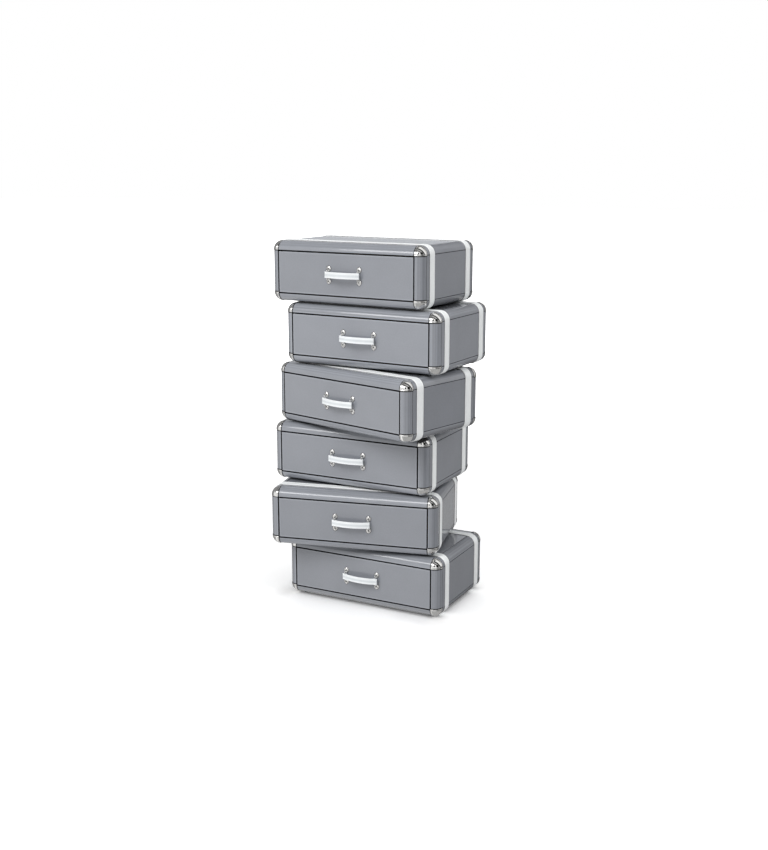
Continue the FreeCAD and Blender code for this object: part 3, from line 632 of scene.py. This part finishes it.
cap_verts, cap_faces, cap_tone = cap_grid()
for n in CASES:
    caps = Shape()
    for sx in (-1, 1):
        for sy in (-1, 1):
            for sz in (-1, 1):
                mid = Vector((sx * (W2 - R), sy * (D2 - R), H - R if sz > 0 else R))
                caps.add([mid + Vector((p.x * sx, p.y * sy, p.z * sz)) for p in cap_verts], cap_faces, cap_tone)
    ob = caps.build("case_%d_chrome_caps" % n, n, chrome_cap, "stack", 60.0)
    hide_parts("case_%d_corner_caps" % n)


# ------------------------------------------------------------------ leather straps and their sewing
def section_line(step=24.0, bends=16):
    """Points round the case's rounded section, each with its outward way."""
    hw, top = W2 - R, H - R
    legs = [((W2, R), (W2, top), 0), ((hw, H), (-hw, H), 90), ((-W2, top), (-W2, R), 180), ((-hw, 0), (hw, 0), 270)]
    hubs = [(hw, top), (-hw, top), (-hw, R), (hw, R)]
    out = []
    for (a, b, angle), hub in zip(legs, hubs):
        way = Vector((math.cos(math.radians(angle)), 0, math.sin(math.radians(angle))))
        a, b = Vector((a[0], 0, a[1])), Vector((b[0], 0, b[1]))
        parts = max(1, round((b - a).length / step))
        for i in range(parts):
            out.append((a.lerp(b, i / parts), way))
        for i in range(bends):
            t = math.radians(angle + 90 * i / bends)
            way = Vector((math.cos(t), 0, math.sin(t)))
            out.append((Vector((hub[0], 0, hub[1])) + way * R, way))
    return out


STRAP = [(0.0, 0.1), (0.0, 1.35), (0.22, 2.05), (0.75, 2.6), (1.6, 2.92), (2.6, 3.0), (3.6, 2.9), (4.25, 2.55),
         (4.75, 2.2), (5.4, 2.08), (6.05, 2.22), (6.8, 2.48), (8.5, 2.62), (12.0, 2.7), (19.25, 2.74)]
half = 19.25
strap_profile = [(e - half, h) for e, h in STRAP] + [(half - e, h) for e, h in reversed(STRAP[:-1])]
# tone -1 on the cut edges, for their grey colour that is partly painted shade; towards 1 in the duller middle
strap_tone = [-1.0 if h < 1.5 else ease(3.8, 8.0, e) for e, h in STRAP]
strap_tone += list(reversed(strap_tone[:-1]))


def sway(run, seed):
    """A strap's small drift to the side."""
    return 0.22 * math.sin(run / 71.0 + seed * 1.7) + 0.14 * math.sin(run / 29.0 + seed * 2.9)


for n in CASES:
    bands, sewing = Shape(), Shape()
    rng = random.Random(100 + n)
    for word, mid_y in (("front", -(D2 - 58.9 - half)), ("rear", D2 - 58.9 - half)):
        seed = n * 2 + (word == "rear")
        line = section_line()
        run, stations = 0.0, []
        for i, (p, way) in enumerate(line):
            if i:
                run += (p - line[i - 1][0]).length
            stations.append((Vector((p.x, mid_y + sway(run, seed), p.z)), Vector((0, 1, 0)), way))
        bands.sweep(stations, strap_profile, True, strap_tone)
        # sewing, two rows
        fine = section_line(3.0, 24)
        count = len(fine)
        run, next_at = 0.0, 0.0
        for i in range(count):
            p, way = fine[i]
            q = fine[(i + 1) % count][0]
            leg = (q - p).length
            while next_at < run + leg:
                t = (next_at - run) / leg
                at = p.lerp(q, t)
                ahead = (q - p).normalized()
                for side in (-1, 1):
                    slant = math.radians(side * 5.0 + rng.uniform(-2.0, 2.0))
                    along = ahead * math.cos(slant) + Vector((0, 1, 0)) * math.sin(slant)
                    mid = Vector((at.x, mid_y + sway(next_at, seed) + side * (half - 5.35), at.z)) + way * 2.38
                    stitch(sewing, mid, along, way, 4.3, 1.15, 0.95)
                next_at += 5.9
            run += leg
    ob = bands.build("case_%d_leather_straps" % n, n, white_strap, "stack", 70.0)
    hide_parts("case_%d_straps" % n)
    ob = sewing.build("case_%d_strap_sewing" % n, n, white_thread, "stack", 80.0)

# ------------------------------------------------------------------ handles
HZ, HX, BAIL = 121.0, 71.8, 14.0
BOW = (HX * HX + 12.0 * 12.0) / 24.0
END = 82.0


def bow(x):
    """The grip's middle line: distance out from the drawer front."""
    return 31.0 - BOW + math.sqrt(BOW * BOW - x * x)


def grip_line():
    """Inner line of the folded band in plan, (across, out): front run, end fold, loop round the bail, back run."""
    tip = END - 2.35
    front = [(x, bow(x) + 0.06) for x in range(-77, 78, 7)]
    loop = [(HX + 3.0 * math.cos(math.radians(a)), BAIL + 3.0 * math.sin(math.radians(a)))
            for a in (-8, -32, -56, -80, -104, -128, -152)]
    right = [(tip - 0.25, bow(tip) + 0.14), (tip, bow(tip) - 0.15), (tip - 0.35, bow(tip) - 0.4)] + loop
    right += [(HX - 7.5, bow(HX) - 1.2)]
    back = [(x, bow(x) - 0.06) for x in range(56, -57, -8)]
    left = [(-x, o) for x, o in reversed(right)]
    return smooth_loop([Vector((x, o, 0)) for x, o in front + right + back + left], 1.5)


GRIP = [(0.0, 0.45), (0.0, 1.15), (0.28, 1.75), (0.85, 2.16), (1.6, 2.3), (2.45, 2.2), (3.0, 1.9), (3.55, 1.68),
        (4.2, 1.8), (5.2, 1.95), (6.6, 2.02), (8.0, 2.05), (9.6, 2.07), (12.5, 2.1)]
grip_profile = [(e - 12.5, t) for e, t in GRIP] + [(12.5 - e, t) for e, t in reversed(GRIP[:-1])] + [(12.1, 0.0), (-12.1, 0.0)]
grip_tone = [ease(5.0, 11.0, e) for e, t in GRIP] + [ease(5.0, 11.0, e) for e, t in reversed(GRIP[:-1])] + [1.0, 1.0]


def in_front(x, out, z=HZ):
    return Vector((x, -D2 - out, z))


def rosette(shape, at, up, radius=10.5):
    """A domed plate, round below and drawn out to a blunt point towards up, with a fillet rim."""
    rings = [(1.13, 0.0, 1.0), (1.13, 0.25, 1.0), (1.02, 0.32, 1.0), (1.0, 0.34, 1.0), (1.0, 0.7, 1.0), (0.975, 0.95, 1.0),
             (0.93, 1.05, 1.0), (0.885, 0.95, 1.0), (0.85, 0.85, 1.0),
             (0.82, 1.0, 0.95), (0.76, 1.6, 0.85), (0.68, 2.2, 0.7), (0.58, 2.7, 0.5), (0.46, 3.05, 0.3), (0.36, 3.25, 0.1),
             (0.30, 3.3, 0.0)]
    steps = 48
    verts, faces = [], []
    for grow, h, point in rings:
        for k in range(steps):
            a = 2 * math.pi * k / steps
            off = abs((a - math.pi / 2 + math.pi) % (2 * math.pi) - math.pi)
            r = radius / math.cos(math.pi / 4 - off) if off < math.pi / 4 else radius
            reach = (radius + 0.4 * (r - radius) * point) * grow
            verts.append(at + Vector((reach * math.cos(a), -h, up * reach * math.sin(a))))
    for i in range(len(rings) - 1):
        for k in range(steps):
            m = (k + 1) % steps
            faces.append((i * steps + k, i * steps + m, (i + 1) * steps + m, (i + 1) * steps + k))
    last = (len(rings) - 1) * steps
    faces.append(tuple(last + k for k in range(steps)))
    faces.append(tuple(reversed(range(steps))))
    # the outer four rings, a washer round the plate, get tone -1: a dark washer, darkened as painted shade for the
    # plate's contact shadow
    shape.add(verts, faces, [-1.0] * (4 * steps) + [0.0] * ((len(rings) - 4) * steps))


def tube(shape, points, radius, sides=14):
    """A round rod along points that lie in one YZ plane."""
    across = Vector((1, 0, 0))
    stations = []
    for i, p in enumerate(points):
        ahead = (points[min(i + 1, len(points) - 1)] - points[max(i - 1, 0)]).normalized()
        stations.append((p, across, ahead.cross(across).normalized()))
    profile = [(radius * math.cos(2 * math.pi * k / sides), radius * math.sin(2 * math.pi * k / sides)) for k in range(sides)]
    shape.sweep(stations, profile, False)


def ring(shape, at, radius, thick, sides=24, fat=8):
    """A small bead round the wire where it leaves the rosette, made dark as painted shade round the wire's foot."""
    stations = []
    for k in range(sides):
        a = 2 * math.pi * k / sides
        out = Vector((math.cos(a), 0, math.sin(a)))
        stations.append((at + out * radius, out, Vector((0, -1, 0))))
    shape.sweep(stations, [(thick * math.cos(2 * math.pi * j / fat), thick * math.sin(2 * math.pi * j / fat)) for j in range(fat)], True, [-1.0] * fat)


# the brackets' middle height, and how far above and below it their rosettes are
BZ, SPAN = HZ - 1.8, 25.0


def bail_line(x):
    """The bail's wire from its upper rosette, out, down and back to the lower one."""
    bend, reach, leg = 8.0, SPAN, BAIL
    pts = [in_front(x, o, BZ + reach) for o in (0.3, 2.0, 4.0, leg - bend)]
    for i in range(1, 11):
        a = math.radians(90 * i / 10)
        pts.append(in_front(x, leg - bend + bend * math.sin(a), BZ + reach - bend + bend * math.cos(a)))
    rise = reach - bend
    pts += [in_front(x, leg, BZ + rise * (1 - 2 * k / 8)) for k in range(1, 8)]
    lower = [in_front(x, -D2 - p.y, 2 * BZ - p.z) for p in reversed(pts[:14])]
    return pts + lower


for n in CASES:
    body = "drawer_%d" % n
    rng = random.Random(300 + n)
    band, sewing, metal = Shape(), Shape(), Shape()
    line = grip_line()
    count = len(line)
    stations = []
    for i in range(count):
        ahead = (line[(i + 1) % count] - line[i - 1]).normalized()
        out = Vector((-ahead.y, ahead.x, 0))
        stations.append((in_front(line[i].x, line[i].y), Vector((0, 0, 1)), Vector((out.x, -out.y, 0))))
    band.sweep(stations, grip_profile, True, grip_tone)
    # two rows along the grip, and one across it inside each loop
    for row in (-1, 1):
        x = -58.0
        while x <= 58.0:
            ahead = Vector((1, x / math.sqrt(BOW * BOW - x * x), 0)).normalized()
            way = Vector((ahead.y, -ahead.x, 0))
            at = in_front(x, bow(x), HZ + row * (12.5 - 3.55)) + way * 1.98
            tilt = math.radians(row * 4.0 + rng.uniform(-2, 2))
            stitch(sewing, at, (ahead * math.cos(tilt) + Vector((0, 0, 1)) * math.sin(tilt)).normalized(), way, 3.5, 0.95, 0.8)
            x += 4.8
    for x in (-63.0, 63.0):
        ahead = Vector((1, x / math.sqrt(BOW * BOW - x * x), 0)).normalized()
        way = Vector((ahead.y, -ahead.x, 0))
        for j in range(-2, 3):
            at = in_front(x, bow(x), HZ + j * 4.0) + way * 2.25
            stitch(sewing, at, Vector((0, 0, 1)), way, 3.0, 0.95, 0.8)
    for x in (-HX, HX):
        tube(metal, bail_line(x), 2.2)
        for s in (1, -1):
            rosette(metal, in_front(x, 0.05, BZ + s * SPAN), s)
            ring(metal, in_front(x, 3.45, BZ + s * SPAN), 2.75, 0.7)
    ob = band.build("drawer_%d_leather_grip" % n, n, white_grip, body, 70.0)
    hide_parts("drawer_%d_handle_grip" % n)
    ob = sewing.build("drawer_%d_grip_sewing" % n, n, white_thread, body, 80.0)
    ob = metal.build("drawer_%d_chrome_brackets" % n, n, chrome_wire, body, 55.0)
    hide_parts("drawer_%d_handle_brackets" % n)

# ------------------------------------------------------------------ floor, light and camera
floor_mesh = bpy.data.meshes.new("studio_floor")
reach = 40.0
floor_mesh.from_pydata([(-reach, -reach, 0), (reach, -reach, 0), (reach, reach, 0), (-reach, reach, 0)], [], [(0, 1, 2, 3)])
floor = bpy.data.objects.new("studio_floor", floor_mesh)
bpy.context.scene.collection.objects.link(floor)
k = Look("studio_white")
fx, fy, fz = k.xyz(k.place())
# the floor's colour for bounced light is darker to the right and behind, as painted shade not seen by the camera, so
# less light comes up onto the cases' right sides
shaded = k.sum("MULTIPLY", k.spread(fx, 0.30, 0.60, 0.0, 1.0), k.spread(fy, -0.65, -0.25, 0.0, 1.0))
white = k.ramp(k.noise(k.place(), 3.0, 2.0, 0.5), [(0.3, 0.80), (0.7, 0.82)])
k.colour(k.blend(shaded, white, 0.70))
k.set(Roughness=0.75, Specular_IOR_Level=0.0)
# the floor glows: painted light; the glow lights the cases from below, stronger in front and weaker to the right, and
# camera rays see the floor brighter still
k.shader.inputs["Emission Color"].default_value = (1.0, 1.0, 1.0, 1.0)
lit = k.sum("ADD", k.spread(fy, 0.3, -0.9, 0.0, 0.27), 0.14)
k.join(k.sum("MULTIPLY", lit, k.spread(shaded, 0.0, 1.0, 1.0, 0.65)), k.shader.inputs["Emission Strength"])
paper, glow, both = k.node("ShaderNodeBsdfDiffuse"), k.node("ShaderNodeEmission"), k.node("ShaderNodeAddShader")
far = k.sum("POWER", k.sum("ADD", k.sum("MULTIPLY", fx, fx), k.sum("MULTIPLY", fy, fy)), 0.5)
foot = seat(6).to_translation()
away = k.sum("MAXIMUM", k.sum("SUBTRACT", k.sum("ABSOLUTE", k.sum("SUBTRACT", fx, foot.x), 0.0), W2 / 1000),
             k.sum("SUBTRACT", k.sum("ABSOLUTE", k.sum("SUBTRACT", fy, foot.y), 0.0), D2 / 1000))
# painted shadows on the floor as the camera sees it: darker just left of the bottom case, a little darker just right of
# it
left = k.sum("MULTIPLY", k.spread(away, 0.0, 0.085, 1.0, 0.0), k.spread(fx, foot.x - 0.36, foot.x - 0.31, 1.0, 0.0))
right = k.sum("MULTIPLY", k.spread(away, 0.0, 0.03, 1.0, 0.0), k.spread(fx, foot.x + 0.31, foot.x + 0.36, 0.0, 1.0))
k.join(k.blend(right, k.blend(left, 1.84, 1.42), 1.64), paper.inputs["Color"])
# painted light on the floor as the camera sees it: more glow away from the bottom case's front, leaving a painted
# shadow before it, and more far off, where it turns white
corner = k.spread(fx, foot.x + 0.12, foot.x + 0.34, 0.0, 0.10)
near = k.spread(k.sum("ADD", fy, corner), foot.y - 0.20, foot.y - 0.27, 0.05, 0.165)
k.join(k.sum("MAXIMUM", near, k.spread(far, 1.5, 5.0, 0.0, 1.0)), glow.inputs["Strength"])
k.join(paper.outputs["BSDF"], both.inputs[0])
k.join(glow.outputs["Emission"], both.inputs[1])
choose = k.node("ShaderNodeMixShader")
k.join(k.node("ShaderNodeLightPath").outputs["Is Camera Ray"], choose.inputs["Fac"])
k.join(k.shader.outputs["BSDF"], choose.inputs[1])
k.join(both.outputs["Shader"], choose.inputs[2])
k.join(choose.outputs["Shader"], next(x for x in k.tree.nodes if x.type == "OUTPUT_MATERIAL").inputs["Surface"])
floor_mesh.materials.append(k.mat)
floor.visible_glossy = False

world = bpy.data.worlds.new("studio")
bpy.context.scene.world = world
world.use_nodes = True
wt = world.node_tree
wt.nodes.clear()


def wnode(kind, **props):
    x = wt.nodes.new(kind)
    for key, v in props.items():
        setattr(x, key, v)
    return x


def wramp(value, stops):
    x = wnode("ShaderNodeValToRGB")
    bar = x.color_ramp.elements
    while len(bar) < len(stops):
        bar.new(0.5)
    for e, (at, c) in zip(bar, stops):
        e.position, e.color = at, (*c, 1.0) if isinstance(c, tuple) else (c, c, c, 1.0)
    wt.links.new(value, x.inputs["Fac"])
    return x.outputs["Color"]


def wmix(fac, a, b):
    x = wnode("ShaderNodeMix", data_type="RGBA")
    ins = {s.identifier: s for s in x.inputs}
    for key, v in (("Factor_Float", fac), ("A_Color", a), ("B_Color", b)):
        if isinstance(v, float):
            ins[key].default_value = v if key == "Factor_Float" else (v, v, v, 1.0)
        else:
            wt.links.new(v, ins[key])
    return next(s for s in x.outputs if s.identifier == "Result_Color")


def wmap(value, low, high, to_low=0.0, to_high=1.0):
    x = wnode("ShaderNodeMapRange", interpolation_type="SMOOTHSTEP")
    for key, v in (("From Min", low), ("From Max", high), ("To Min", to_low), ("To Max", to_high)):
        x.inputs[key].default_value = v
    wt.links.new(value, x.inputs["Value"])
    return x.outputs["Result"]


def wline(value, low, high):
    x = wnode("ShaderNodeMapRange")
    for key, v in (("From Min", low), ("From Max", high), ("To Min", 0.0), ("To Max", 1.0)):
        x.inputs[key].default_value = v
    wt.links.new(value, x.inputs["Value"])
    return x.outputs["Result"]


split = wnode("ShaderNodeSeparateXYZ")
way = wnode("ShaderNodeTexCoord").outputs["Generated"]
wt.links.new(way, split.inputs["Vector"])
wx, wy, wz = (split.outputs[c] for c in "XYZ")
# soft light from all round, a little stronger overhead and behind
soft = wramp(wmap(wz, 0.0, 1.0), [(0.0, 0.67), (1.0, 0.88)])


def toward(x, y, z, low, high):
    """1 for directions near (x, y, z), by the cosine of the angle between."""
    dot = wnode("ShaderNodeVectorMath", operation="DOT_PRODUCT")
    wt.links.new(way, dot.inputs[0])
    dot.inputs[1].default_value = Vector((x, y, z)).normalized()
    return wmap(dot.outputs["Value"], low, high)


def wtimes(a, b):
    x = wnode("ShaderNodeMath", operation="MULTIPLY")
    for socket, v in zip(x.inputs, (a, b)):
        wt.links.new(v, socket)
    return x.outputs["Value"]


soft = wmix(toward(0.5, -0.87, 0.0, 0.35, 0.95), soft, 0.44)
soft = wmix(toward(-1.0, -0.1, 0.15, 0.25, 0.95), soft, 0.34)
soft = wmix(toward(0.8, 0.6, 0.1, 0.30, 0.95), soft, 0.42)
# what polished surfaces see: a white floor in front, dark far floor behind, white panels and dark gaps between them
near_floor = wmix(wmap(wx, -0.3, 0.6), 0.95, 0.60)
near_floor = wmix(wmap(wx, 0.70, 0.84), near_floor, 0.06)
far_floor = wramp(wline(wx, -1.0, 1.0), [(0.0, 0.06), (0.35, 0.06), (0.50, 0.36), (0.56, 0.34), (0.68, 0.20), (0.76, 0.26), (0.90, 0.16)])
skirt = wmix(wmap(wy, 0.2, 0.7), near_floor, far_floor)
under = wramp(wline(wy, -1.0, 1.0), [(0.0, 1.1), (0.25, 1.1), (0.50, 0.96), (0.625, 0.76), (0.75, 0.50), (0.88, 0.16), (0.92, 0.05)])
caps_see = wmix(wmap(wy, 0.62, 0.80), 0.42, 0.10)
under = wmix(wmap(wx, -0.40, -0.26), under, caps_see)
under = wmix(wmap(wx, -0.80, -0.52), 0.34, under)
ground = wmix(wmap(wz, -0.46, -0.30), under, skirt)
sides = wmix(wmap(wx, -0.4, 0.3), 0.90, 0.95)
behind = wramp(wline(wx, -1.0, 1.0), [(0.0, (0.545, 0.56, 0.59)), (0.335, (0.545, 0.56, 0.59)), (0.375, 0.06), (0.47, 0.03), (0.525, 0.08), (0.565, 0.36), (0.75, 0.24), (1.0, 0.16)])
low = wmix(wmap(wy, 0.0, 0.5), sides, behind)
seen = wmix(wmap(wz, -0.06, 0.06), ground, low)
seen = wmix(wmap(wz, 0.32, 0.62), seen, 0.20)
# to the left the panels end, and a dim room follows
left_end = wtimes(wmap(wx, -0.5, -0.7), wmap(wy, -0.45, -0.22))
left_end = wtimes(left_end, wtimes(wmap(wy, 0.75, 0.6), wmap(wz, -0.46, -0.34)))
seen = wmix(left_end, seen, 0.28)
# up and to the right, seen only by the chrome: white panels with dark gaps, in rings about the low front
tilt = wnode("ShaderNodeVectorMath", operation="DOT_PRODUCT")
wt.links.new(way, tilt.inputs[0])
tilt.inputs[1].default_value = (-0.065, -0.923, -0.379)
panels = wramp(wline(tilt.outputs["Value"], -1.0, 1.0),
               [(0.0, 0.10), (0.07, 0.12), (0.11, 0.95), (0.30, 0.95), (0.32, 0.015), (0.43, 0.01), (0.45, 0.45), (0.555, 0.55),
                (0.575, 0.01), (0.65, 0.01), (0.67, 1.0), (1.0, 1.0)])
from_x = wnode("ShaderNodeMath", operation="ADD")
wt.links.new(wx, from_x.inputs[0])
wt.links.new(wmap(wz, 0.60, 0.80, 0.0, 0.14), from_x.inputs[1])
up_right = wtimes(wmap(from_x.outputs["Value"], -0.05, 0.06), wmap(wz, -0.02, 0.08))
up_right = wtimes(up_right, wmap(wy, 0.80, 0.66))
seen = wmix(up_right, seen, panels)
# two dark stands among the white panels
seen = wmix(toward(0.30, -0.875, 0.37, 0.980, 0.988), seen, 0.02)
seen = wmix(toward(0.82, -0.44, 0.36, 0.945, 0.965), seen, 0.01)
path = wnode("ShaderNodeLightPath")
light = wmix(path.outputs["Is Glossy Ray"], soft, seen)
light = wmix(path.outputs["Is Camera Ray"], light, 1.0)
bg = wnode("ShaderNodeBackground")
wt.links.new(light, bg.inputs["Color"])
wt.links.new(bg.outputs["Background"], wnode("ShaderNodeOutputWorld").inputs["Surface"])


def softbox(name, at, aim, wide, tall, radiance):
    data = bpy.data.lights.new(name, "AREA")
    data.shape = "RECTANGLE"
    data.size, data.size_y = wide, tall
    data.energy = radiance * math.pi * wide * tall
    ob = bpy.data.objects.new(name, data)
    bpy.context.scene.collection.objects.link(ob)
    ob.location = at
    ob.rotation_mode = "QUATERNION"
    ob.rotation_quaternion = (Vector(aim) - Vector(at)).to_track_quat("-Z", "Y")
    ob.visible_camera = False
    return ob


# a front softbox for the highlights, a broad key from above the front and a weak fill from behind the right for the shading
strip = softbox("front_strip", (-1.3, -4.2, 3.87), (0, -0.1, 1.0), 3.6, 1.3, 6.0)
strip.visible_diffuse = False
unlit = bpy.data.collections.new("not_in_the_suns")
unlit.objects.link(floor)
unlit.collection_objects[0].light_linking.link_state = "EXCLUDE"


def far_lamp(name, energy, angle, way):
    """A broad lamp far off, kept off the floor and out of the reflections."""
    data = bpy.data.lights.new(name, "SUN")
    data.energy = energy
    data.angle = math.radians(angle)
    ob = bpy.data.objects.new(name, data)
    bpy.context.scene.collection.objects.link(ob)
    ob.rotation_mode = "QUATERNION"
    ob.rotation_quaternion = Vector(way).to_track_quat("-Z", "Y")
    ob.visible_glossy = False
    ob.light_linking.receiver_collection = unlit


far_lamp("key", 2.36, 34, (0.22, 0.67, -0.71))
far_lamp("fill", 1.38, 50, (-0.68, -0.70, -0.22))

yaw, pitch, roll = math.radians(27.0985), math.radians(12.7061), math.radians(-0.0279)
ahead = Vector((-math.sin(yaw) * math.cos(pitch), math.cos(yaw) * math.cos(pitch), -math.sin(pitch)))
right = Vector((math.cos(yaw), math.sin(yaw), 0.0))
up = right.cross(ahead)
right, up = right * math.cos(roll) - up * math.sin(roll), right * math.sin(roll) + up * math.cos(roll)
cam_data = bpy.data.cameras.new("camera")
cam_data.sensor_fit, cam_data.sensor_width, cam_data.lens = "AUTO", 36.0, 49.846
cam_data.clip_end = 200.0
camera = bpy.data.objects.new("camera", cam_data)
bpy.context.scene.collection.objects.link(camera)
axes = Matrix((right, up, -ahead)).transposed().to_4x4()
camera.matrix_world = Matrix.Translation((2.25827, -4.30376, 1.84721)) @ axes
bpy.context.scene.camera = camera
bpy.context.scene.view_settings.view_transform = "Standard"
